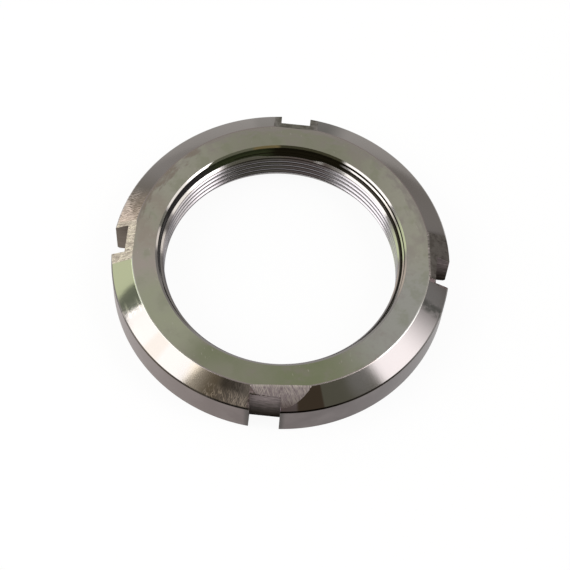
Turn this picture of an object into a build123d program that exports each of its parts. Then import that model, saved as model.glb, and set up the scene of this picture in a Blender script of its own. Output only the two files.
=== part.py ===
from build123d import *
import os
from math import radians, tan

# A bearing lock nut: a flat steel ring with a fine thread in its bore, four spanner
# slots milled across its rim and a wide chamfer on the side that bears.
# Units are millimetres. The nut lies on its plain back face at Z = 0, the bore axis
# is Z, the bearing face looks up, and the slots open towards +X, +Y, -X and -Y.

# Ring
outer_diameter = 70.0
nut_width = 11.0
rim_chamfer_width = 4.3  # across the bearing side, from the rim in to the flat face
rim_chamfer_angle = 31.0  # degrees, from the bearing face down to the rim
back_edge_break = 0.4  # small 45 degree chamfer round the back of the rim

# Thread M50 x 1.5. The bore stands at the thread's inside diameter.
thread_diameter = 50.0
thread_pitch = 1.5
thread_form_factor = 1.0825  # outside diameter less inside diameter, for each mm of pitch

# Countersinks, the same at both faces: a flat edge break, then a steep lead-in
mouth_allowance = 1.0  # how far the mouth stands outside the thread, on the radius
mouth_break = 0.5  # measured across the face
mouth_break_angle = 30.0  # degrees from the face
lead_in_depth = 2.8  # from the face to the first full turn of thread

# Spanner slots
slot_count = 4
slot_width = 6.2
slot_depth = 2.9

# How far a cutter runs past the surface that it cuts
cutter_overrun = 2.0

# Worked out from the sizes above
rim_radius = outer_diameter / 2
bearing_face_radius = rim_radius - rim_chamfer_width
rim_chamfer_height = rim_chamfer_width * tan(radians(rim_chamfer_angle))
bore_radius = (thread_diameter - thread_form_factor * thread_pitch) / 2
mouth_radius = thread_diameter / 2 + mouth_allowance
mouth_break_depth = mouth_break * tan(radians(mouth_break_angle))
slot_floor_radius = rim_radius - slot_depth
thread_length = nut_width - 2 * lead_in_depth


def ring_section():
    """Half section of the turned blank, as radius and height, from the back mouth round the rim."""
    return [
        (mouth_radius, 0),
        (rim_radius - back_edge_break, 0),
        (rim_radius, back_edge_break),
        (rim_radius, nut_width - rim_chamfer_height),
        (bearing_face_radius, nut_width),
        (mouth_radius, nut_width),
        (mouth_radius - mouth_break, nut_width - mouth_break_depth),
        (bore_radius, nut_width - lead_in_depth),
        (bore_radius, lead_in_depth),
        (mouth_radius - mouth_break, mouth_break_depth),
    ]


def turned_blank():
    """The ring as it leaves the lathe: rim, chamfer, faces, countersinks and bore in one revolve."""
    with BuildPart() as blank:
        with BuildSketch(Plane.XZ):
            with BuildLine():
                Polyline(*ring_section(), close=True)
            make_face()
        revolve(axis=Axis.Z)
    return blank.part


def slot_cutters():
    """Square-cornered cutters that mill every slot right across the rim, from face to face."""
    reach = slot_depth + cutter_overrun
    height = nut_width + 2 * cutter_overrun
    with BuildPart() as cutters:
        with Locations((0, 0, nut_width / 2)):
            with PolarLocations(slot_floor_radius + reach / 2, slot_count):
                Box(reach, slot_width, height)
    return cutters.part


def lock_nut():
    """The finished nut: one solid, the blank less its slots."""
    nut = turned_blank() - slot_cutters()
    nut.label = "lock_nut"
    return nut


os.makedirs("parts", exist_ok=True)
nut = lock_nut()
export_step(nut, "parts/lock_nut.step")
print("bore radius", round(bore_radius, 3), "thread length", round(thread_length, 3))
print("rim chamfer height", round(rim_chamfer_height, 3), "volume", round(nut.volume, 1))
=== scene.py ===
# %% [markdown]
# # A bearing lock nut
# A shaft carries a bearing, and this nut holds the bearing on. It is a flat steel ring
# with a fine thread in its bore, four square slots that a hook spanner turns it by, and
# a wide chamfer round the side that presses on the bearing.
#
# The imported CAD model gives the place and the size. It has the plain form: its bore is
# smooth and every edge is sharp. This lesson makes one detailed piece that stands in for
# it, with a real helical thread, broken edges and filed flats, and gives its surfaces
# eight finishes of cut steel.

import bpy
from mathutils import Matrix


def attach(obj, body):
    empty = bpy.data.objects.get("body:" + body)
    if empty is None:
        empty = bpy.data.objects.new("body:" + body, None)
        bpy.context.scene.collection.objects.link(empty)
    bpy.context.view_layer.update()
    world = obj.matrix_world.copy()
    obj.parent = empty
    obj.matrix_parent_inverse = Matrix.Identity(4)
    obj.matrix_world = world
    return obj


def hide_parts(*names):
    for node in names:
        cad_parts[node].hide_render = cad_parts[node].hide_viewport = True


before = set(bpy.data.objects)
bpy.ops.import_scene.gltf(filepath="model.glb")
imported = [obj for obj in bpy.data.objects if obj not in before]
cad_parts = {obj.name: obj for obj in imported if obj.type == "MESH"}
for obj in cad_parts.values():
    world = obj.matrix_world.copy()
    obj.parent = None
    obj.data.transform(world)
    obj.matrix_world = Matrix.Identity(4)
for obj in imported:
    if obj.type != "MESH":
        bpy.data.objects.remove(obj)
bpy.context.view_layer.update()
print("CAD nodes:", list(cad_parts))

# %% [markdown]
# ## Sizes
# A workshop drawing of the nut needs only about a dozen numbers. They could be written
# straight into each step, but named once they can be changed in one place. They are the
# CAD model's own, so the detailed piece lies exactly over it. Blender measures in metres
# here, so every millimetre is multiplied by MM when it becomes a point.

# %% Tools and units
from math import cos, pi, radians, sin, tan

import bmesh
import bpy
from mathutils import Matrix, Vector

MM = 0.001

# %% Sizes of the nut, in millimetres
outer_diameter = 70.0
nut_width = 11.0
rim_chamfer_width = 4.3
rim_chamfer_angle = 31.0  # degrees
back_edge_break = 0.4
thread_diameter = 50.0
pitch = 1.5
thread_form_factor = 1.0825  # outside diameter less inside diameter, for each mm of pitch
mouth_allowance = 1.0
lead_in_depth = 2.8
slot_count = 4
slot_width = 6.2
slot_depth = 2.9

rim_radius = outer_diameter / 2
face_radius = rim_radius - rim_chamfer_width
bore_radius = (thread_diameter - thread_form_factor * pitch) / 2
mouth_radius = thread_diameter / 2 + mouth_allowance
slot_floor_radius = rim_radius - slot_depth
print("radii, mm: bore", round(bore_radius, 3), "mouth", mouth_radius, "face", face_radius)

# %% [markdown]
# ## The turned blank
# On the real object this is lathe work: the bar is faced, bored, chamfered and parted
# off. A cylinder with a hole cut through it would give the ring, but then each chamfer
# and countersink would be one more cut. Spinning the half section does what the lathe
# does, and makes every turned surface at once.
#
# No turned edge is truly sharp, and the thin line of light or dark that a rounded edge
# catches is much of what makes steel look like steel. The corners of the section are
# rounded before it is spun, which costs nothing, because a bevel of single points leaves
# no untidy joints.

# %% Wires that are spun
STEPS_PER_TURN = 240

def closed_wire(points):
    """A new bmesh with a closed wire in the XZ plane; points are radius and height in mm."""
    bm = bmesh.new()
    corners = [bm.verts.new((radius * MM, 0, height * MM)) for radius, height in points]
    for start, end in zip(corners, corners[1:] + corners[:1]):
        bm.edges.new((start, end))
    return bm, corners


def round_corner(bm, corner, radius):
    """Rounds one corner of a wire, starting this many mm to each side of it."""
    bmesh.ops.bevel(bm, geom=[corner], offset=radius * MM, offset_type="OFFSET", segments=3,
                    profile=0.5, affect="VERTICES", material=-1)


def one_turn(bm, rise=0.0):
    """Spins all of bm once round Z, climbing by rise mm, and closes it if it is flat."""
    bmesh.ops.spin(bm, geom=bm.verts[:] + bm.edges[:], cent=(0, 0, 0), axis=(0, 0, 1),
                   dvec=(0, 0, rise * MM / STEPS_PER_TURN), angle=2 * pi,
                   steps=STEPS_PER_TURN, use_merge=rise == 0, use_duplicate=False)


def new_object(name, bm):
    """Turns a finished bmesh into an object in the scene."""
    mesh = bpy.data.meshes.new(name)
    bm.to_mesh(mesh)
    bm.free()
    piece = bpy.data.objects.new(name, mesh)
    bpy.context.scene.collection.objects.link(piece)
    return piece


print("one step is", round(2 * pi * rim_radius / STEPS_PER_TURN, 2), "mm along the rim")

# %% The half section
EDGE_WIDTH = 0.24  # the rim's edge is broken by a narrow facet, steeper than the chamfer
EDGE_DROP = 0.32
edge_height = nut_width - (rim_chamfer_width - EDGE_WIDTH) * tan(radians(rim_chamfer_angle))
# Each countersink from the mouth inwards: distance in from the mouth, depth, corner rounding
countersink = [
    (0.12, 0, 0.04),
    (0.56, 0.26, 0.03),
    (0.63, 0.94, 0.03),
    (0.94, 1.20, 0.03),
    (mouth_radius - bore_radius, lead_in_depth, 0),
]
# Radius, height and corner rounding, from the back of the rim round to the back mouth
section = [
    (rim_radius - back_edge_break, 0, 0.08),
    (rim_radius, back_edge_break, 0.08),
    (rim_radius, edge_height - EDGE_DROP, 0.05),
    (rim_radius - EDGE_WIDTH, edge_height, 0.03),
    (face_radius, nut_width, 0.15),
]
section += [(mouth_radius - inwards, nut_width - depth, rounding)
            for inwards, depth, rounding in countersink]
section += [(mouth_radius - inwards, depth, rounding)
            for inwards, depth, rounding in reversed(countersink)]
print("half section:", len(section), "corners")

# %% Spin the blank
bm, corners = closed_wire([(radius, height) for radius, height, _ in section])
for corner, (_, _, rounding) in zip(corners, section):
    if rounding:
        round_corner(bm, corner, rounding)
one_turn(bm)
bmesh.ops.recalc_face_normals(bm, faces=bm.faces)
nut = new_object("lock_nut_detailed", bm)
print("blank:", len(nut.data.polygons), "faces")

# %% [markdown]
# ## Spanner slots
# A milling cutter runs right across the rim four times, from face to face, and leaves
# square slots with flat floors. Modelling them by hand into the spun mesh would mean
# lining up its steps with the slot walls. A Boolean cut doesn't care where the steps
# are, and works as the milling cutter does.
#
# Boolean is a modifier, but the next step needs real faces to work on, so each cut is
# taken at once: the evaluated mesh replaces the old one and the cutter is thrown away.

# %% Cutting tools
CUTTER_OVERRUN = 2.0


def cut_away(piece, tool):
    """Cuts the tool out of the piece for good."""
    modifier = piece.modifiers.new("cut", "BOOLEAN")
    modifier.operation = "DIFFERENCE"
    modifier.solver = "EXACT"
    modifier.object = tool
    depsgraph = bpy.context.evaluated_depsgraph_get()
    cut_mesh = bpy.data.meshes.new_from_object(piece.evaluated_get(depsgraph))
    piece.modifiers.clear()
    piece.data = cut_mesh
    bpy.data.objects.remove(tool)


def add_block(bm, size, turn, place):
    """Adds a block to bm: its size in mm, a matrix that turns it, and its centre in mm."""
    made = bmesh.ops.create_cube(bm, size=1.0)
    bmesh.ops.scale(bm, vec=Vector(size) * MM, verts=made["verts"])
    bmesh.ops.transform(bm, matrix=turn, verts=made["verts"])
    bmesh.ops.translate(bm, vec=Vector(place) * MM, verts=made["verts"])
    return made["verts"]


def swing(bm, verts, angle):
    """Turns points of bm round the nut's axis by an angle in degrees."""
    bmesh.ops.rotate(bm, cent=(0, 0, 0), matrix=Matrix.Rotation(radians(angle), 3, "Z"),
                     verts=verts)


# %% Mill the slots
slot_reach = slot_depth + CUTTER_OVERRUN
bm = bmesh.new()
for number in range(slot_count):
    block = add_block(bm, (slot_reach, slot_width, nut_width + 2 * CUTTER_OVERRUN),
                      Matrix.Identity(4),
                      (slot_floor_radius + slot_reach / 2, 0, nut_width / 2))
    swing(bm, block, 360 * number / slot_count)
cut_away(nut, new_object("slot_cutters", bm))
print("with slots:", len(nut.data.polygons), "faces")

# %% [markdown]
# ## Broken slot edges
# Milling leaves burrs, which a fitter takes off with a file, so the slots' edges are
# slightly round. A Bevel modifier could round every sharp edge of the nut, but the
# turned corners are round already. The bevel is given only the edges that lie on a wall
# or the floor of a slot, and finds them by their place.

# %% Round the slots' edges
SLOT_EDGE_ROUNDING = 0.05
TOUCHING = 0.001  # what lies nearer than this, in mm, touches
SAME_POINT = 0.00001  # points nearer than this, in mm, are one point
SHARP_BEND = 20  # degrees


def near_slot_wall(vertex):
    """Whether a vertex lies on a wall or the floor of a slot."""
    along, across = sorted((abs(vertex.co.x) / MM, abs(vertex.co.y) / MM), reverse=True)
    on_wall = abs(across - slot_width / 2) < TOUCHING and along > slot_floor_radius - TOUCHING
    on_floor = abs(along - slot_floor_radius) < TOUCHING and across < slot_width / 2 + TOUCHING
    return on_wall or on_floor


bm = bmesh.new()
bm.from_mesh(nut.data)
bmesh.ops.remove_doubles(bm, verts=bm.verts, dist=SAME_POINT * MM)
slot_edges = [
    edge for edge in bm.edges
    if all(near_slot_wall(vertex) for vertex in edge.verts)
    and edge.calc_face_angle(0) > radians(SHARP_BEND)
]
bmesh.ops.bevel(bm, geom=slot_edges, offset=SLOT_EDGE_ROUNDING * MM, offset_type="OFFSET",
                segments=2, profile=0.5, affect="EDGES", material=-1, clamp_overlap=True)
bm.to_mesh(nut.data)
bm.free()
print("rounded", len(slot_edges), "slot edges, now", len(nut.data.polygons), "faces")

# %% [markdown]
# ## Filed flats
# At each slot the edge between the bearing face and the chamfer was dressed with a file.
# That left a thin flat, deepest at the slot and gone a few millimetres to each side, so
# the round edge of the face runs straight there. No two slots have the same flat. Moving
# the mesh's own points down would bend the chamfer too. A file is a flat tool, so a
# large block is laid at the file's tilt and cut away.

# %% File the flats
# For each slot: the direction that its flat faces, in degrees round from +X, how far from
# the axis it starts on the bearing face, in mm, and its tilt from that face, in degrees
flats = [(5.5, 30.25, 31.0), (89.8, 30.34, 30.7), (181.0, 30.35, 31.0), (275.2, 30.07, 27.0)]
FILE_SIZE = 12.0
FILE_OVERLAP = 1.0  # how far the file reaches back over the bearing face
bm = bmesh.new()
for direction, start, tilt in flats:
    turn = Matrix.Rotation(radians(tilt), 4, "Y")
    centre = Vector((start, 0, nut_width))
    centre += turn.to_3x3() @ Vector((FILE_SIZE / 2 - FILE_OVERLAP, 0, FILE_SIZE / 2))
    block = add_block(bm, (FILE_SIZE, 2 * FILE_SIZE, FILE_SIZE), turn, centre)
    swing(bm, block, direction)
cut_away(nut, new_object("file_strokes", bm))
print("with flats:", len(nut.data.polygons), "faces")

# %% [markdown]
# ## The thread
# The bore has a fine right-hand thread, 1.5 mm from turn to turn. Rings set one above
# another would give themselves away, since each turn has to run on into the next, and a
# bump in the material would leave the bore's outline smooth. So the thread is cut with a
# long spiral tool, as a tap cuts it. The tool is the groove's section, spun once round
# while it climbs one pitch, and that turn is copied up the bore. The copies' ends are
# merged and the outer ends closed, because a Boolean needs a closed tool.
#
# Real crests are a little worn and real roots are never quite sharp, so the section
# takes off the crests' corners and ends in a narrow flat at the root.

# %% The groove's section
FLANK = tan(radians(30))
CORNER = 0.09  # how far the crests' corners and the root are taken off
ROOT_FLAT = 0.05  # half the width of the flat at the root
ROOT_CLEARANCE = 0.02  # the tap cuts this much deeper than the thread's outside diameter
TOOL_OVERLAP = 0.5
groove_half_width = pitch * 3 / 8  # the standard form, at the bore
root_radius = thread_diameter / 2 + ROOT_CLEARANCE


def flank_half_width(radius):
    """Half the groove's width at a radius, in mm."""
    return groove_half_width - (radius - bore_radius) * FLANK


upper_half = [
    (bore_radius - TOOL_OVERLAP, groove_half_width + CORNER),
    (bore_radius, groove_half_width + CORNER),
    (bore_radius + CORNER, flank_half_width(bore_radius + CORNER)),
    (root_radius - CORNER, flank_half_width(root_radius - CORNER)),
    (root_radius, ROOT_FLAT),
]
groove = upper_half + [(radius, -height) for radius, height in reversed(upper_half)]
print("groove:", round(root_radius - bore_radius, 3), "mm deep")

# %% Cut the thread
crest_at_first_turn = 141.3  # degrees round from +X where a crest stands at height 0
bm, _ = closed_wire(groove)
one_turn(bm, rise=pitch)
turns = int(nut_width / pitch) + 2  # so that the tap sticks out at both ends
first_turn = bm.verts[:] + bm.edges[:] + bm.faces[:]
for number in range(1, turns):
    copied = bmesh.ops.duplicate(bm, geom=first_turn)["geom"]
    bmesh.ops.translate(bm, vec=(0, 0, number * pitch * MM),
                        verts=[part for part in copied if isinstance(part, bmesh.types.BMVert)])
bmesh.ops.remove_doubles(bm, verts=bm.verts, dist=TOUCHING * MM)
bmesh.ops.holes_fill(bm, edges=[edge for edge in bm.edges if edge.is_boundary], sides=0)
swing(bm, bm.verts, crest_at_first_turn)
bmesh.ops.translate(bm, vec=(0, 0, -pitch / 2 * MM), verts=bm.verts)
bmesh.ops.recalc_face_normals(bm, faces=bm.faces)
cut_away(nut, new_object("tap", bm))
print("with thread:", len(nut.data.polygons), "faces, cut by", turns, "turns of tap")

# %% [markdown]
# ## A closed mesh, shaded smooth
# A steel part has no gaps, but each Boolean leaves a few points that almost touch, and
# they would show as dark specks. Points closer than half a thousandth of a millimetre
# are merged, and the count of open edges proves that nothing tore.
#
# Shaded flat, the ring's 240 steps would show as facets. A Subdivision modifier would
# hide them but soften the slots. Smooth shading with sharp edges keeps both: every bend
# of more than six degrees stays a crisp border.

# %% Close the mesh and shade it
MERGE = 0.0005  # mm
CRISP_BEND = 6  # degrees
bm = bmesh.new()
bm.from_mesh(nut.data)
bmesh.ops.remove_doubles(bm, verts=bm.verts, dist=MERGE * MM)
bmesh.ops.dissolve_degenerate(bm, edges=bm.edges, dist=MERGE * MM)
open_edges = [edge for edge in bm.edges if not edge.is_manifold]
print("open or tangled edges:", len(open_edges),
      "triangles:", sum(len(face.verts) - 2 for face in bm.faces),
      "volume mm3:", round(bm.calc_volume() / MM ** 3, 1))
bm.to_mesh(nut.data)
bm.free()
nut.data.shade_smooth()
nut.data.set_sharp_from_angle(angle=radians(CRISP_BEND))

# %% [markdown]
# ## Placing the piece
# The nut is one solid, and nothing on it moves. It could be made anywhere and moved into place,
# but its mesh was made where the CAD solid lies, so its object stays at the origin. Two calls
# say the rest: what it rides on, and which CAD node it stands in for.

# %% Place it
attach(nut, "root")
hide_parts("lock_nut")
print("piece:", nut.name, "at", list(nut.location))

# %% [markdown]
# ## Shader maths
# The steel's colour and gloss change over the surface: film, specks, scratches and file
# marks. Each is a mask worked out from the place on the nut. Adding every Math node by
# hand makes long, hard to read code, so a small class wraps a socket and lets Python's
# own signs add the nodes: `1 - mask` is a Subtract node. One more method adds any other
# node: its settings first, then what goes into it.

# %% The signal class
class Signal:
    """A node's output, which can be added to, taken from or multiplied by another."""

    def __init__(self, tree, socket=None):
        self.tree = tree
        self.socket = socket

    def node(self, kind, settings, inputs, output=0):
        """Adds a node of any kind, with its settings set before its inputs."""
        made = self.tree.nodes.new(kind)
        for name, setting in settings.items():
            setattr(made, name, setting)
        for name, value in inputs.items():
            if isinstance(value, Signal):
                self.tree.links.new(value.socket, made.inputs[name])
            else:
                made.inputs[name].default_value = value
        return Signal(self.tree, made.outputs[output])

    def math(self, operation, *terms):
        """Adds a Math node with these terms in its sockets, in their order."""
        return self.node("ShaderNodeMath", {"operation": operation}, dict(enumerate(terms)))

    def __add__(self, other):
        return self.math("ADD", self, other)

    def __sub__(self, other):
        return self.math("SUBTRACT", self, other)

    def __rsub__(self, other):
        return self.math("SUBTRACT", other, self)

    def __mul__(self, other):
        return self.math("MULTIPLY", self, other)

    __radd__ = __add__
    __rmul__ = __mul__

    def size(self):
        """The number without its sign."""
        return self.math("ABSOLUTE", self)

    def larger(self, other):
        return self.math("MAXIMUM", self, other)

    def smaller(self, other):
        return self.math("MINIMUM", self, other)

    def counted_from(self, low):
        """The same angle in degrees, counted from low up to low + 360."""
        return self.math("WRAP", self, low + 360.0, low)

    def fade(self, start, end):
        """0 up to start and 1 from end on, softly between; end may be the lower one."""
        return self.node("ShaderNodeMapRange", {"interpolation_type": "SMOOTHSTEP"},
                         {"Value": self, "From Min": start, "From Max": end})

    def spread(self, low, high):
        """Stretches 0..1 to low..high."""
        return self * (high - low) + low


def lay_over(below, mask, above):
    """The colour below where mask is 0 and the colour above where it is 1."""
    return mask.node("ShaderNodeMix", {"data_type": "RGBA"}, {0: mask, 6: below, 7: above},
                     output=2)


# %% [markdown]
# ## Places on the nut
# Every mask starts from a few measures of where a point lies: how far from the axis, how
# high, and which way round. An unwrapped image could carry the marks instead, but it
# would need a seam and would blur close up. Object coordinates give the place in metres,
# and the nut lies at the origin, so nothing has to be centred.
#
# Tool marks follow the work, not the axes. Turning marks run round the nut, so their
# noise changes fast with the radius and slowly along the rim. File and brush strokes
# run outwards, so theirs changes fast along the rim.

# %% Measures that every finish uses
class Place:
    """Where a point of the surface lies, in mm and degrees, as signals of one material."""

    def __init__(self, tree):
        start = Signal(tree)
        found = start.node("ShaderNodeTexCoord", {}, {}, output="Object")
        self.point = found.node("ShaderNodeVectorMath", {"operation": "SCALE"},
                                {0: found, "Scale": 1 / MM})
        self.x, self.y, self.z = [
            self.point.node("ShaderNodeSeparateXYZ", {}, {0: self.point}, output=axis)
            for axis in range(3)
        ]
        flat = self.combine(self.x, self.y, 0.0)
        self.radius = flat.node("ShaderNodeVectorMath", {"operation": "LENGTH"}, {0: flat},
                                output="Value")
        self.turn = self.y.math("ARCTAN2", self.y, self.x) * (180 / pi)

    def combine(self, x, y, z):
        """One vector made of three numbers or signals."""
        return self.x.node("ShaderNodeCombineXYZ", {}, {0: x, 1: y, 2: z})

    def noise(self, vector, scale, detail=2.0, roughness=0.5):
        """Noise from 0 to 1, with this many lumps to a millimetre of vector."""
        return self.point.node("ShaderNodeTexNoise", {}, {
            "Vector": vector, "Scale": scale, "Detail": detail, "Roughness": roughness})

    def turning(self, rings_per_mm):
        """Fine lines round the axis, as a lathe leaves."""
        vector = self.combine(self.radius * rings_per_mm, self.z * rings_per_mm,
                              self.turn * 0.015)
        return self.noise(vector, 1.0, detail=1.0)

    def strokes(self, strokes_per_mm, length, slant):
        """Fine lines outwards, as a file or wire brush leaves; slant leans them sideways."""
        wander = self.noise(self.point, 0.5, detail=1.0).spread(-0.35, 0.35)
        along_rim = self.turn * (pi * rim_radius / 180) - self.radius * slant + wander
        vector = self.combine(along_rim * strokes_per_mm, self.radius * (1 / length),
                              self.z * (1 / length))
        return self.noise(vector, 1.0, detail=1.5)

    def crossed_strokes(self, strokes_per_mm, length):
        """Two sets of strokes that cross."""
        return self.strokes(strokes_per_mm, length, 0.5).larger(
            self.strokes(strokes_per_mm * 1.1, length, -0.25))

    def near_turn(self, middle, half_width, softness):
        """1 within half_width degrees of a direction, fading over softness degrees."""
        apart = (self.turn - middle).counted_from(-180.0)
        return apart.size().fade(half_width + softness, half_width)


# %% [markdown]
# ## Steel
# All eight finishes are the same steel, cut in eight ways, so they share one recipe: a
# Principled shader with Metallic at 1, where Base Color is the tint of the reflection
# and the tool marks are a shallow bump. A grey plastic with a gloss coat would be
# simpler, but steel shows the room and hardly any colour of its own.
#
# The nut isn't clean. Where a finish is painted darkest it takes Metallic down to 0: low in the
# slots, where that is painted shade, and on the dark parts of the countersinks and the first
# turn of the thread. The tints below are used by more than one finish.

# %% A recipe for steel
STEEL = (0.285, 0.268, 0.258, 1)
MAUVE = (0.27, 0.232, 0.22, 1)
SLOT_STEEL = (0.16, 0.125, 0.12, 1)
FILED_LEFT = (0.405, 0.355, 0.355, 1)
PALE_SCRATCH = (0.70, 0.64, 0.60, 1)
# A dark tint for real dirt between file strokes, and for painted shade on the rim's edge,
# beside and low in the slots, and on the thread's unlit side
OIL_AND_SHADE = (0.030, 0.024, 0.018, 1)
BLACK_TINT = (0.009, 0.0075, 0.004, 1)


def new_steel(name):
    """A new finish of the nut: its Principled shader and its place signals."""
    material = bpy.data.materials.new(name)
    material.use_nodes = True
    shader = material.node_tree.nodes["Principled BSDF"]
    shader.inputs["Metallic"].default_value = 1.0
    nut.data.materials.append(material)
    return shader, Place(material.node_tree)


def connect(shader, name, signal):
    """Leads a signal into one of the shader's sockets."""
    signal.tree.links.new(signal.socket, shader.inputs[name])


def finish_steel(shader, colour, roughness, height, depth):
    """Connects colour, roughness and bump; height is in 0..1 and depth in mm."""
    connect(shader, "Base Color", colour)
    connect(shader, "Roughness", roughness)
    connect(shader, "Normal", height.node("ShaderNodeBump", {}, {
        "Strength": 1.0, "Distance": depth * MM, "Height": height}))
    print(nut.data.materials[-1].name, "has", len(shader.id_data.nodes), "nodes")


# %% [markdown]
# ## The flat faces
# Both faces were turned flat and then handled. They are satin, with a thin greenish film
# that is thicker on one side of the ring, brown wear along the outer edge, and a few
# nicks. One even grey would look like plastic, and spots spread evenly would look like a
# pattern. So each tint is a broad soft mask of its own, by direction, by distance from
# the axis or by noise, and the masks are laid one over another as the film was.

# %% The faces: film and tarnish
shader, place = new_steel("faced_steel")
FACE_STEEL, FACE_PALE = (0.265, 0.262, 0.202, 1), (0.42, 0.41, 0.345, 1)
GREEN_FILM, GREY_FILM = (0.205, 0.225, 0.136, 1), (0.36, 0.36, 0.345, 1)
# Tarnish along the ring: middle, half width and softness in degrees, least and most
# strength, colour
tarnish = [
    (215.0, 10.0, 18.0, 0.4, 0.9, (0.36, 0.375, 0.272, 1)),
    (188.0, 4.0, 15.0, 0.2, 0.9, (0.40, 0.353, 0.318, 1)),
    (172.0, 9.0, 9.0, 0.0, 0.7, (0.33, 0.29, 0.24, 1)),
]
clouds = place.noise(place.point, 0.25, detail=4.0, roughness=0.6)
broad = place.noise(place.point, 0.06)
sideways = place.x.size().fade(8.0, 27.0)
film = place.y.fade(6.0, -30.0) * broad.fade(0.25, 0.6)
film = film * (1 - place.near_turn(213.0, 10.0, 22.0))
colour = lay_over(FACE_STEEL, sideways * 0.65, FACE_PALE)
colour = lay_over(colour, film * (1 - sideways * 0.8), GREEN_FILM)
colour = lay_over(colour, place.near_turn(-27.0, 12.0, 25.0) * 0.7, GREY_FILM)
colour = lay_over(colour, clouds.fade(0.50, 0.66) * 0.4, MAUVE)
colour = lay_over(colour, clouds.fade(0.48, 0.34) * 0.3, GREEN_FILM)
for middle, half_width, softness, least, most, tone in tarnish:
    patchy = clouds.fade(0.35, 0.6).spread(least, most)
    colour = lay_over(colour, place.near_turn(middle, half_width, softness) * patchy, tone)
print("film and", len(tarnish), "patches of tarnish")

# %% The faces: worn edge and nicks
WORN, WORN_BROWN = (0.285, 0.262, 0.235, 1), (0.25, 0.212, 0.17, 1)
smears = place.noise(place.combine(place.turn * 0.16, place.radius * 0.8, 0.0), 1.0,
                     detail=5.0, roughness=0.6)
worn_edge = (smears.spread(-5.0, 5.0) + place.radius).fade(28.5, 30.6)
colour = lay_over(colour, worn_edge * place.y.fade(0.0, 12.0) * 0.9, WORN)
brown_edge = (smears.spread(-6.0, 6.0) + place.radius).fade(29.0, 31.0)
colour = lay_over(colour, brown_edge * place.near_turn(150.0, 14.0, 14.0) * 0.8, WORN_BROWN)
leaning = place.combine((place.x + place.y * 0.4) * 3.2, (place.y - place.x * 0.4) * 0.8, 0.0)
here_and_there = place.noise(place.point, 0.2, detail=0.0).fade(0.5, 0.6)
nicks = place.noise(leaning, 1.0, detail=0.0).fade(0.76, 0.80) * here_and_there
colour = lay_over(colour, nicks * 0.22, PALE_SCRATCH)
grain = place.noise(place.point, 9.0)
roughness = clouds.spread(0.27, 0.42)
finish_steel(shader, colour, roughness, (grain + place.turning(5.0)) * 0.5, 0.004)

# %% [markdown]
# ## The chamfer
# The wide chamfer is the brightest surface. It was turned fine and polished by handling, so it
# mirrors the room sharply, and a wire brush has gone over it beside two of the slots. Much of
# what it shows is reflection, which the lamps and the room give. What is left to paint: stains
# and bands across it, brushed patches, and a line of painted shade round its outer edge,
# darkest on the near side. One noise can't put a patch beside one slot and not the next, so
# each band is given by its direction round the nut.

# %% The chamfer: bands across it
shader, place = new_steel("turned_chamfer")
BROWN_FILM, BROWN_BESIDE_LEFT = (0.215, 0.195, 0.18, 1), (0.172, 0.152, 0.13, 1)
BRUSHED_LEFT = (0.36, 0.325, 0.305, 1)
# Middle, half width and softness in degrees, strength and colour
bands = [
    (84.0, 5.5, 10.0, 0.95, (0.072, 0.065, 0.056, 1)),
    (-113.0, 3.0, 5.0, 0.9, (0.32, 0.275, 0.215, 1)),
    (101.0, 2.0, 4.5, 0.45, (0.12, 0.11, 0.095, 1)),
    (-134.0, 2.0, 2.5, 1.0, (0.268, 0.245, 0.225, 1)),
    (-173.5, 1.0, 1.5, 1.0, FILED_LEFT),
    (-75.2, 4.6, 0.8, 0.95, (0.150, 0.105, 0.090, 1)),
    (5.0, 8.5, 3.0, 1.0, (0.150, 0.136, 0.120, 1)),
]
fibres = place.crossed_strokes(5.5, 1.7)
colour = lay_over(STEEL, place.y.fade(8.0, 26.0), BROWN_FILM)
for middle, half_width, softness, strength, tone in bands:
    colour = lay_over(colour, place.near_turn(middle, half_width, softness) * strength, tone)
colour = lay_over(colour, place.turn.fade(145.0, 161.0), BROWN_BESIDE_LEFT)
ragged_turn = place.turn + (place.radius - 32.9) * 2.6 + fibres.spread(-5.0, 5.0)
colour = lay_over(colour, ragged_turn.fade(166.3, 169.3), BRUSHED_LEFT)
print("bands:", len(bands) + 2)

# %% The chamfer: brushed patches beside the slots
BRUSHED, BRIGHT_HAIR = (0.50, 0.44, 0.45, 1), (0.90, 0.82, 0.78, 1)
low = place.radius.fade(31.8, 33.8)
brushed_patch = place.near_turn(-102.0, 4.5, 3.5) * low * fibres.fade(0.46, 0.60)
colour = lay_over(colour, brushed_patch * 0.62, BRUSHED)
hair = place.crossed_strokes(3.2, 1.3).fade(0.58, 0.64)
colour = lay_over(colour, place.near_turn(-103.0, 6.0, 3.5) * low * hair * 0.8, BRIGHT_HAIR)
dull_top = place.near_turn(-102.5, 2.5, 3.0) * (1 - low)
colour = lay_over(colour, dull_top * 0.6, OIL_AND_SHADE)
FILED_TOP, FILED_FOOT = (0.58, 0.50, 0.66, 1), (0.30, 0.24, 0.29, 1)
filed_tone = lay_over(FILED_TOP, place.radius.fade(32.4, 34.4), FILED_FOOT)
colour = lay_over(colour, place.near_turn(-85.4, 5.6, 1.2), filed_tone)
smudge = place.noise(place.point, 0.9, detail=3.0).fade(0.35, 0.55)
smudge = smudge * place.near_turn(-16.0, 1.0, 2.0)
colour = lay_over(colour, smudge * 0.6, (0.050, 0.058, 0.045, 1))
print("the chamfer is", round(rim_radius - face_radius, 1), "mm wide")

# %% The chamfer: strokes, painted shade on the edge, and gloss
EDGE_START = rim_radius - EDGE_WIDTH


def painted_edge_shade(place, edge):
    """How strongly painted shade darkens the rim's edge: more towards the near side."""
    return edge * (place.y.fade(2.0, -6.0) * 0.35 + place.y.fade(-14.0, -27.0) * 0.5)


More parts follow.
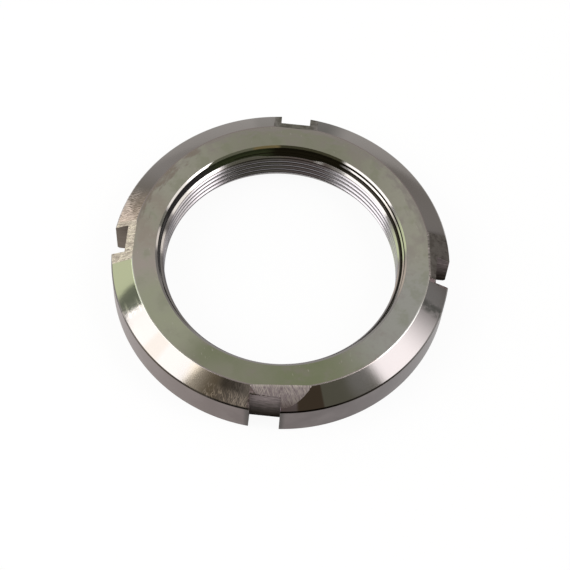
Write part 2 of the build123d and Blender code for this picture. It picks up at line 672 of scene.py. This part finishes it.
fine = place.strokes(9.0, 4.0, 0.0)
brushed = place.near_turn(-96.0, 2.0, 10.0) * 0.9 + place.near_turn(167.0, 5.0, 6.0) * 0.7
few = place.near_turn(-151.0, 0.6, 2.4) * 0.6
marks = fibres.fade(0.52, 0.64) * (brushed * low.spread(0.3, 1.0) + few)
colour = lay_over(colour, marks * 0.75, PALE_SCRATCH)
streaks = place.turning(1.6).fade(0.55, 0.64) * place.near_turn(-151.5, 0.8, 3.2)
colour = lay_over(colour, streaks * 0.5, PALE_SCRATCH)
PALE_STROKE, DIRTY_STROKE = (0.66, 0.60, 0.57, 1), (0.12, 0.10, 0.08, 1)
above_left_slot = place.near_turn(171.0, 3.5, 2.0)
colour = lay_over(colour, above_left_slot * fibres.fade(0.54, 0.64) * 0.6, PALE_STROKE)
colour = lay_over(colour, above_left_slot * fibres.fade(0.49, 0.40) * 0.55, DIRTY_STROKE)
edge = place.radius.fade(EDGE_START - 0.06, EDGE_START + 0.02)
# Painted shade: a dark line along the chamfer's outer edge, strongest on the near side
colour = lay_over(colour, painted_edge_shade(place, edge), OIL_AND_SHADE)
polished = place.near_turn(-157.0, 8.0, 3.0) * 0.035
roughness = brushed.spread(0.11, 0.25) + fine.spread(-0.02, 0.04) - polished
height = place.turning(4.0) * 0.1 + fine * 0.12 + fibres * brushed
finish_steel(shader, colour, roughness, height, 0.010)

# %% [markdown]
# ## The finish of the filed flats
# A file leaves crossed scratches with torn, pale ends and holds dirt between them. The
# four flats have aged differently: two are dark and stained, two are pale and scratched.
# Four materials would repeat the same strokes, so one material does all four and picks
# its ground tone by direction. The pale burrs follow the edge where each flat begins,
# which the shader works out from the same numbers that cut the flats.

# %% The filed flats: ground tones and distance from the flat's edge
shader, place = new_steel("filed_flat")
shader.inputs["Specular Tint"].default_value = (0.3, 0.3, 0.3, 1)
# The ground tone of each flat, in the order in which they were filed
flat_tones = [
    (0.152, 0.140, 0.126, 1),
    (0.20, 0.192, 0.165, 1),
    FILED_LEFT,
    (0.37, 0.312, 0.33, 1),
]
fibres = place.crossed_strokes(5.5, 1.7)
fine = place.strokes(9.0, 3.5, 0.3)
colour = flat_tones[0]
from_edge = -100.0  # any flat lies further out than this
for (direction, start, _), tone in zip(flats, flat_tones):
    colour = lay_over(colour, place.near_turn(direction, 30.0, 10.0), tone)
    outwards = place.x * cos(radians(direction)) + place.y * sin(radians(direction))
    from_edge = (outwards - start).larger(from_edge)
print("tones of the flats:", len(flat_tones))

# %% The filed flats: scratches, stains and burrs
bright_side = place.turn.fade(100.0, 140.0) + place.turn.fade(-40.0, -60.0)
left, near = place.near_turn(180.0, 30.0, 5.0), place.near_turn(-90.0, 22.0, 4.0)
beside_far = place.near_turn(90.0, 30.0, 4.0) * (1 - place.near_turn(90.2, 4.6, 4.2))
colour = lay_over(colour, beside_far * 0.7, (0.30, 0.28, 0.265, 1))
colour = lay_over(colour, fibres.fade(0.53, 0.66) * bright_side * 0.7, PALE_SCRATCH)
colour = lay_over(colour, fibres.fade(0.56, 0.64) * left * 0.3, (0.80, 0.73, 0.70, 1))
colour = lay_over(colour, fibres.fade(0.50, 0.42) * left * 0.25, (0.13, 0.10, 0.085, 1))
stains = place.noise(place.point, 0.8, detail=3.0).fade(0.42, 0.62) * (1 - bright_side)
colour = lay_over(colour, fibres.fade(0.49, 0.38) * 0.4 + stains * 0.35, OIL_AND_SHADE)
speckle = place.noise(place.point, 2.4).fade(0.50, 0.62) * left
colour = lay_over(colour, speckle * 0.35, (0.16, 0.135, 0.115, 1))
low_near = place.near_turn(-84.0, 14.0, 2.0) * place.radius.fade(31.6, 34.6)
colour = lay_over(colour, low_near * 0.85, SLOT_STEEL)
burr = from_edge.fade(0.6, 0.15) * fine.fade(0.40, 0.58)
colour = lay_over(colour, burr * (near + place.near_turn(0.0, 22.0, 4.0) * 0.7), PALE_SCRATCH)
finish_steel(shader, colour, fine.spread(0.3, 0.45), fibres * 0.6 + fine * 0.4, 0.025)

# %% [markdown]
# ## The rounded edge, with painted highlights
# The round edge between the bearing face and the chamfer rubs against everything. It catches
# the light as a thin line, which is painted into its colour as a highlight. Edge wear could be
# found with a Pointiness input, but the exported model would lose it. The edge has faces of
# its own here, so it simply gets a finish of its own, with painted highlights where its
# rounding would mirror the lamps and the bright wall.

# %% The rounded edge of the bearing face, with painted highlights
shader, place = new_steel("edge_painted_highlight")
worn = place.noise(place.point, 0.5)
# Painted highlights: the edge is brighter on the near side, and brightest at two places where
# its rounding would mirror the light
bright = place.y.fade(12.0, -4.0) * (1 - place.near_turn(-60.0, 12.0, 8.0) * 0.8)
bright = bright * (1 - place.near_turn(-106.0, 9.0, 7.0) * 0.9)
colour = lay_over(MAUVE, bright, (0.40, 0.385, 0.35, 1))
colour = lay_over(colour, place.near_turn(-160.0, 11.0, 5.0) * 0.8, (0.72, 0.73, 0.64, 1))
colour = lay_over(colour, place.near_turn(-31.0, 10.0, 7.0), (0.62, 0.62, 0.60, 1))
finish_steel(shader, colour, worn.spread(0.15, 0.3), worn, 0.002)

# %% [markdown]
# ## The rim
# The outside is left as turned and dull. It is browner on the left and darker towards the
# right, which is painted shade, and painted shade also darkens the corners beside the slots. A
# few broad masks are enough, because the rim is seen at a slant. The shade beside each slot is
# measured as the distance from the nearer of the two axes, so one mask does all four.

# %% The rim
shader, place = new_steel("turned_rim")
RIM_LEFT, RIM_RIGHT = (0.188, 0.140, 0.125, 1), (0.098, 0.078, 0.075, 1)
clouds = place.noise(place.point, 0.15, detail=3.0)
# Painted shade: the rim darkens from the left towards the right
colour = lay_over(RIM_LEFT, place.x.fade(-34.0, 16.0), RIM_RIGHT)
colour = lay_over(colour, clouds.fade(0.35, 0.75) * 0.2, (0.37, 0.325, 0.315, 1))
# Painted shade: darker in the corners beside each slot
from_slot = place.x.size().smaller(place.y.size()) - slot_width / 2
colour = lay_over(colour, from_slot.fade(1.3, 0.2) * 0.75, OIL_AND_SHADE)
edge = place.z.fade(edge_height - EDGE_DROP - 0.05, edge_height - EDGE_DROP + 0.02)
# Painted shade: the same dark line along the rim's top edge, strongest on the near side
colour = lay_over(colour, painted_edge_shade(place, edge), OIL_AND_SHADE)
finish_steel(shader, colour, clouds.spread(0.28, 0.4), place.turning(4.0), 0.004)

# %% [markdown]
# ## The slots
# A milling cutter leaves level lines on walls and floor. Every slot but the left one is
# darkened low down with painted shade, where the floor is near, and pits are painted near the
# top of the walls. A dark Base Color alone would still mirror the lamps, so the mask of shade
# and pits lowers Metallic too, and Specular IOR Level is 0 so that nothing shines on it.

# %% The slots
shader, place = new_steel("milled_slot")
shader.inputs["Specular IOR Level"].default_value = 0.0
milled = place.noise(place.combine(place.x * 0.15, place.y * 0.15, place.z * 3.0), 1.0,
                     roughness=0.7)
wavy = place.noise(place.combine(place.x * 0.5 + place.z * 0.4, place.y * 0.5, place.z * 2.2),
                   1.0, detail=3.0, roughness=0.6)
not_left = place.x.fade(-31.0, -20.0)
top_edge = place.z.fade(9.5, 9.65) * place.z.fade(10.3, 10.1)
pitted = place.noise(place.point, 1.6, detail=1.0).fade(0.51, 0.56) * top_edge * not_left
# Painted shade: darker towards the bottom of each slot but the left one, joined with pits near
# the top
darkening = (place.z.fade(10.6, 0.5) * not_left * milled.spread(0.7, 1.2)).larger(pitted)
colour = lay_over(SLOT_STEEL, milled.fade(0.35, 0.65), (0.215, 0.168, 0.168, 1))
colour = lay_over(colour, wavy.fade(0.54, 0.62) * 0.6, (0.33, 0.27, 0.27, 1))
colour = lay_over(colour, wavy.fade(0.46, 0.38) * 0.5, OIL_AND_SHADE)
colour = lay_over(colour, (1 - not_left) * 0.85, (0.150, 0.120, 0.090, 1))
colour = lay_over(colour, darkening, OIL_AND_SHADE)
connect(shader, "Metallic", 1 - darkening)
finish_steel(shader, colour, milled.spread(0.35, 0.5), milled, 0.02)

# %% [markdown]
# ## The countersinks
# Each countersink is a bright turned step and a steep lead-in to the thread. The lead-in and
# the first groove are painted dark: black at the far side, greenish further round, with a
# golden film at the mouth. It could be painted by height alone, but the dark keeps to the
# groove, so its lower border climbs with the thread.
#
# How far a point lies above the first land is worked out by a helper, because the
# thread's own finish needs the same border. The border keeps one distance from the
# groove's root, which meets the land's edge on the +X side, and climbs one pitch in a
# full turn. It has to fall back somewhere, and does so softly over the last 55 degrees,
# where the first groove has long run out into the countersink.

# %% How far above the first land
TURNS_TO_FIRST_GROOVE = 6.5  # counted from the crest at height 0
LAND_BELOW_ROOT = 0.38  # from the groove's root down to where the land begins, at +X
first_root = TURNS_TO_FIRST_GROOVE * pitch - crest_at_first_turn * pitch / 360  # at +X
first_land = first_root - LAND_BELOW_ROOT


def above_thread(place):
    """The direction as -90 to 270 degrees, and how many mm above the first land."""
    round_turn = place.turn.counted_from(-90.0)
    climb = round_turn * (pitch / 360) - round_turn.fade(215.0, 270.0) * pitch
    dip = place.near_turn(91.0, 10.0, 8.0) * 0.35
    return round_turn, place.z - climb - first_land + dip


print("on the +X side the first land is at", round(first_land, 2), "mm")

# %% The countersinks: where they are painted dark
shader, place = new_steel("countersunk_steel")
shader.inputs["Specular IOR Level"].default_value = 0.0
break_end, step_end, lead_in_start = [countersink[corner][0] for corner in (1, 2, 3)]
round_turn, drop = above_thread(place)
inwards = mouth_radius - place.radius
below_break = inwards.fade(break_end - 0.02, break_end + 0.02)
on_break = 1 - below_break
step = below_break * inwards.fade(step_end + 0.04, step_end)
lead_in = inwards.fade(lead_in_start - 0.02, lead_in_start + 0.04)
slanted = place.turn + (0.3 - inwards) * 10.0
film = place.turn.fade(62.0, 66.5) * slanted.fade(132.5, 129.5)
film = film + on_break * place.near_turn(168.5, 3.5, 1.5) * 0.6
ledge = place.near_turn(155.0, 40.0, 6.0) - place.near_turn(190.0, 22.0, 4.0) * 0.13
dark_area = (step + lead_in + film + below_break * ledge).smaller(1.0) * drop.fade(-0.04, 0.04)
print("borders, mm in from the mouth:", break_end, step_end, lead_in_start)

# %% The countersinks: dark tints, the film and bright metal
GREEN_BLACK, OLD_FILM = (0.024, 0.029, 0.013, 1), (0.090, 0.092, 0.063, 1)
darkening = lay_over(BLACK_TINT, round_turn.fade(97.0, 104.0), GREEN_BLACK)
darkening = lay_over(darkening, round_turn.fade(126.0, 138.0), (0.028, 0.026, 0.026, 1))
break_tone = lay_over((0.038, 0.036, 0.021, 1), place.turn.fade(104.0, 109.0), OLD_FILM)
break_tone = lay_over(break_tone, place.near_turn(102.5, 5.0, 2.5), (0.135, 0.108, 0.052, 1))
turned = place.turning(6.0)
colour = lay_over(STEEL, turned, (0.33, 0.315, 0.30, 1))
colour = lay_over(colour, dark_area, lay_over(darkening, on_break, break_tone))
connect(shader, "Metallic", 1 - dark_area)
# Below the dark border, what is left of the lead-in between the grooves leans as the flanks do
LEAN, BUMP_DEPTH = -0.7, 0.0006
lean = drop.smaller(0.0).larger(-1.6) * (LEAN / BUMP_DEPTH)
finish_steel(shader, colour, turned.spread(0.06, 0.12), turned + lean, BUMP_DEPTH)

# %% [markdown]
# ## The thread's finish
# A tap draws fine lines along each turn and leaves the crests bright. The mesh gives the turns
# themselves, so the finish only has to darken the roots by their distance from the axis, and
# grey with painted shade the side that the light doesn't reach. At the start of the thread the
# countersink's dark tint runs on over the first turn.

# %% The thread's finish
shader, place = new_steel("cut_thread")
shader.inputs["Specular IOR Level"].default_value = 0.0
round_turn, drop = above_thread(place)
drawn = place.noise(place.combine(place.turn * 0.3, place.radius * 8.0, place.z * 8.0), 1.0)
colour = lay_over((0.265, 0.25, 0.258, 1), drawn, (0.37, 0.352, 0.372, 1))
# Painted shade: grey on the side that the light doesn't reach, and a little on the far side
unlit_shade = place.x.fade(6.0, -14.0) * 0.36 + place.near_turn(98.0, 26.0, 6.0) * 0.15
colour = lay_over(colour, unlit_shade, OIL_AND_SHADE)
root = place.radius.fade(bore_radius + 0.30, bore_radius + 0.50)
colour = lay_over(colour, root * 0.92, OIL_AND_SHADE)
dark_area = drop.fade(-0.04, 0.04) * round_turn.fade(58.0, 66.0).spread(0.6, 1.0)
colour = lay_over(colour, dark_area, BLACK_TINT)
connect(shader, "Metallic", 1 - dark_area)
finish_steel(shader, colour, drawn.spread(0.12, 0.22), drawn, 0.002)

# %% [markdown]
# ## Which face has which finish
# On the real nut the tool that cut a surface gave it its finish. Faces could be picked by
# hand in Edit Mode, but they would have to be picked again after every change. Here each
# face is asked where it lies and which way it looks, which names the tool that made it.

# %% Surfaces of the nut
FACED, CHAMFER, FILED, EDGE, RIM, SLOT, COUNTERSINK, THREAD = range(8)
NEAR = 0.02  # faces this near to a surface, in mm, belong to it
PARALLEL = 0.9999  # directions whose dot product is above this are the same
LEVEL = 0.9995  # a normal whose Z is beyond this, either way, looks straight up or down
LEEWAY = 2  # degrees flatter than the chamfer, where its round edge begins
middle_of_face = (mouth_radius + face_radius) / 2


def countersink_radius(depth):
    """The radius of the countersink at a depth below the nearer face."""
    for (start, top, _), (end, bottom, _) in zip(countersink, countersink[1:]):
        if depth <= bottom:
            return mouth_radius - start - (end - start) * (depth - top) / (bottom - top)
    return bore_radius


def on_flat(centre, normal):
    """Whether a face lies on one of the filed flats."""
    for direction, start, tilt in flats:
        outwards = Vector((cos(radians(direction)), sin(radians(direction)), 0))
        square = outwards * sin(radians(tilt)) + Vector((0, 0, cos(radians(tilt))))
        offset = square.dot(centre - outwards * start - Vector((0, 0, nut_width)))
        if abs(offset) < NEAR / 5 and normal.dot(square) > PARALLEL:
            return True
    return False


def finish_of(face):
    """The material index of a face of the nut."""
    centre = face.center / MM
    along, across = sorted((abs(centre.x), abs(centre.y)), reverse=True)
    radius = centre.xy.length
    if on_flat(centre, face.normal):
        return FILED
    if along > slot_floor_radius - NEAR and across < slot_width / 2 + NEAR:
        return SLOT
    if radius < mouth_radius - NEAR:
        depth = min(centre.z, nut_width - centre.z)
        on_cone = depth < lead_in_depth and abs(radius - countersink_radius(depth)) < 2 * NEAR
        return COUNTERSINK if on_cone else THREAD
    if abs(face.normal.z) > LEVEL:
        return FACED
    if radius < middle_of_face:
        return COUNTERSINK
    if face.normal.z > cos(radians(rim_chamfer_angle - LEEWAY)):
        return EDGE
    looks_up = face.normal.z > 0.5
    return CHAMFER if looks_up else RIM


# %% Sort the faces
for face in nut.data.polygons:
    face.material_index = finish_of(face)
for index, material in enumerate(nut.data.materials):
    covered = sum(face.material_index == index for face in nut.data.polygons)
    print(material.name, covered, "faces")

# %% [markdown]
# ## The camera
# The nut was photographed from above and in front, at arm's length, with the camera held
# a little crooked. Its place and lens could be tried by eye, but the ring's circles are
# seen as ovals, and their shapes give the camera exactly: these numbers were fitted to
# them beforehand, and the picture's own tilt is the roll.

# %% Camera
CAMERA_FOCAL = 107.04  # mm, on a sensor 36 mm wide
camera_place = Vector((5.128, -170.079, 314.9)) * MM
camera_aim = Vector((1.304, -1.771, 0)) * MM
camera_roll = radians(4.637)
camera = bpy.data.objects.new("camera", bpy.data.cameras.new("camera"))
bpy.context.scene.collection.objects.link(camera)
camera.data.lens = CAMERA_FOCAL
camera.data.sensor_width = 36.0
camera.data.clip_start = 0.01
camera.location = camera_place
look = (camera_aim - camera_place).to_track_quat("-Z", "Y").to_matrix()
camera.rotation_euler = (look @ Matrix.Rotation(camera_roll, 3, "Z")).to_euler()
bpy.context.scene.camera = camera
print("camera", round((camera_place - camera_aim).length / MM), "mm away")

# %% [markdown]
# ## The floor
# The nut lies on white paper and throws a faint shadow. A very bright lamp would make
# plain paper white, and would burn the steel out too. Instead the paper glows, but only
# for rays that come from the camera or from the metal. A small share stays plain paper
# for them too, and keeps the shadow.

# %% The floor
PAPER_GLOW = 0.93  # the rest is plain paper, on which the shadow shows
FLOOR_REACH = 1.5  # metres from the nut to each side
bm = bmesh.new()
bmesh.ops.create_grid(bm, x_segments=1, y_segments=1, size=FLOOR_REACH)
floor = new_object("floor", bm)
paper = bpy.data.materials.new("white_paper")
paper.use_nodes = True
tree = paper.node_tree
tree.nodes.clear()
start = Signal(tree)
camera_ray, glossy_ray, transmission_ray = [
    start.node("ShaderNodeLightPath", {}, {}, output=name)
    for name in ("Is Camera Ray", "Is Glossy Ray", "Is Transmission Ray")
]
seen = (camera_ray + glossy_ray + transmission_ray).smaller(1.0)
diffuse = start.node("ShaderNodeBsdfDiffuse", {}, {"Color": (0.95, 0.95, 0.95, 1)})
glow = start.node("ShaderNodeEmission", {}, {"Color": (1, 1, 1, 1), "Strength": 1.0})
both = start.node("ShaderNodeMixShader", {}, {0: seen * PAPER_GLOW, 1: diffuse, 2: glow})
output = tree.nodes.new("ShaderNodeOutputMaterial")
tree.links.new(both.socket, output.inputs["Surface"])
floor.data.materials.append(paper)
print("floor:", len(tree.nodes), "nodes")

# %% [markdown]
# ## The room
# Polished steel is a picture of its room, so the room is most of its look. A panorama
# image could be hung round the scene, but this one is painted on the world with soft
# round patches: dull walls, a bright wall on the left with a green curtain, a few pale
# spots on the right, and a dark near side that the front of the chamfer mirrors.
#
# The world's own direction, Generated, is the same from every camera, so the reflections
# stay where they are in other views.

# %% Directions in the room
world = bpy.data.worlds.new("studio")
bpy.context.scene.world = world
world.use_nodes = True
tree = world.node_tree
start = Signal(tree)
direction = start.node("ShaderNodeTexCoord", {}, {}, output="Generated")
direction = direction.node("ShaderNodeVectorMath", {"operation": "NORMALIZE"}, {0: direction})


def toward(x, y, z):
    """How far the direction agrees with this one: 1 straight at it, 0 at right angles."""
    return direction.node("ShaderNodeVectorMath", {"operation": "DOT_PRODUCT"},
                          {0: direction, 1: Vector((x, y, z)).normalized()}, output="Value")


def at(azimuth, elevation):
    """The direction with this azimuth and elevation, in degrees, as three numbers."""
    level = cos(radians(elevation))
    return level * cos(radians(azimuth)), level * sin(radians(azimuth)), sin(radians(elevation))


def add_patches(room, patches):
    """Paints round patches, full within inner degrees of the middle and gone at outer."""
    for azimuth, elevation, inner, outer, colour in patches:
        mask = toward(*at(azimuth, elevation)).fade(cos(radians(outer)), cos(radians(inner)))
        room = lay_over(room, mask, colour)
    return room


print("half way up on the left is", [round(part, 2) for part in at(180, 45)])

# %% The walls
# Patches: azimuth and elevation of the middle, inner and outer radius, in degrees, colour
near_side = [
    (-88, 31, 31, 37, (0.20, 0.175, 0.125, 1)),
    (-58, 31, 31, 37, (0.235, 0.236, 0.180, 1)),
    (-106, 51, 9, 22, (0.23, 0.20, 0.15, 1)),
    (-84, 2, 26, 40, (0.035, 0.032, 0.020, 1)),
    (-106, 62, 8, 12, (0.26, 0.22, 0.20, 1)),
    (8, 4, 10, 22, (0.08, 0.08, 0.08, 1)),
    (57, 8, 9, 16, (0.51, 0.49, 0.47, 1)),
]
bright_wall = [
    (-165, 0, 14, 34, (1.45, 1.38, 1.20, 1)),
    (-166, 15, 12, 19, (2.8, 2.7, 2.5, 1)),
    (147, 16, 10, 16, (1.35, 1.20, 1.05, 1)),
]
room = lay_over((0.72, 0.71, 0.70, 1), toward(1, 0, 0).fade(0.30, 0.85), (0.36, 0.34, 0.33, 1))
room = add_patches(room, near_side + bright_wall)
# The curtain is an upright band in the bright wall, with a dark gap at its top
curtain = toward(*at(73, 0)).size().fade(0.20, 0.12) * toward(*at(163, 12)).fade(0.85, 0.91)
room = lay_over(room, curtain, (1.62, 1.82, 1.20, 1))
room = add_patches(room, [(173.5, 30.5, 4.5, 5.9, (0.40, 0.46, 0.335, 1))])
print("walls:", len(near_side + bright_wall), "patches and a curtain")

# %% The right side of the room
pale_spots = [
    (34, 31.5, 2.5, 6.5, (2.1, 2.0, 1.9, 1)),
    (10, 43.5, 6.5, 9, (2.7, 2.65, 2.55, 1)),
    (21, 26, 3, 8, (0.48, 0.48, 0.475, 1)),
]
room = add_patches(room, [(-33, 45, 2, 7, (0.42, 0.42, 0.40, 1))])
# A glow beside the right lamp starts at once and dies away slowly
along = toward(*at(65, 0))
glow = along.fade(-0.035, 0.05) * along.fade(0.66, 0.24) * toward(*at(-8, 38)).fade(0.85, 0.92)
room = lay_over(room, glow, (3.35, 3.25, 3.35, 1))
room = add_patches(room, pale_spots)
tree.links.new(room.socket, tree.nodes["Background"].inputs["Color"])
print("room:", len(tree.nodes), "nodes")

# %% [markdown]
# ## The lamps
# Two soft lamps light the nut, a wide one from the left that whitens the chamfer there
# and a small one from the upper right. Point lamps would leave hard specks on polished
# steel. Each is a flat sheet of light, and its size is given as the angle that it fills
# seen from the nut, because that is what the steel mirrors.

# %% The lamps
LAMP_DISTANCE = 0.6  # metres


def softbox(name, azimuth, elevation, width, height, brightness):
    """A flat lamp that looks at the nut; its sides are in degrees, as seen from the nut."""
    lamp = bpy.data.lights.new(name, "AREA")
    lamp.shape = "RECTANGLE"
    lamp.size = 2 * LAMP_DISTANCE * tan(radians(width / 2))
    lamp.size_y = 2 * LAMP_DISTANCE * tan(radians(height / 2))
    lamp.energy = brightness * pi * lamp.size * lamp.size_y
    piece = bpy.data.objects.new(name, lamp)
    piece.visible_camera = False
    bpy.context.scene.collection.objects.link(piece)
    back = Vector(at(azimuth, elevation))
    piece.location = back * LAMP_DISTANCE
    piece.rotation_euler = (-back).to_track_quat("-Z", "Y").to_euler()
    print(name, round(lamp.energy, 2), "W")


softbox("softbox_left", -160.0, 45, 34, 31, 3.0)
softbox("softbox_right", -5, 56, 15, 14, 4.0)
bpy.context.scene.view_settings.view_transform = "Standard"
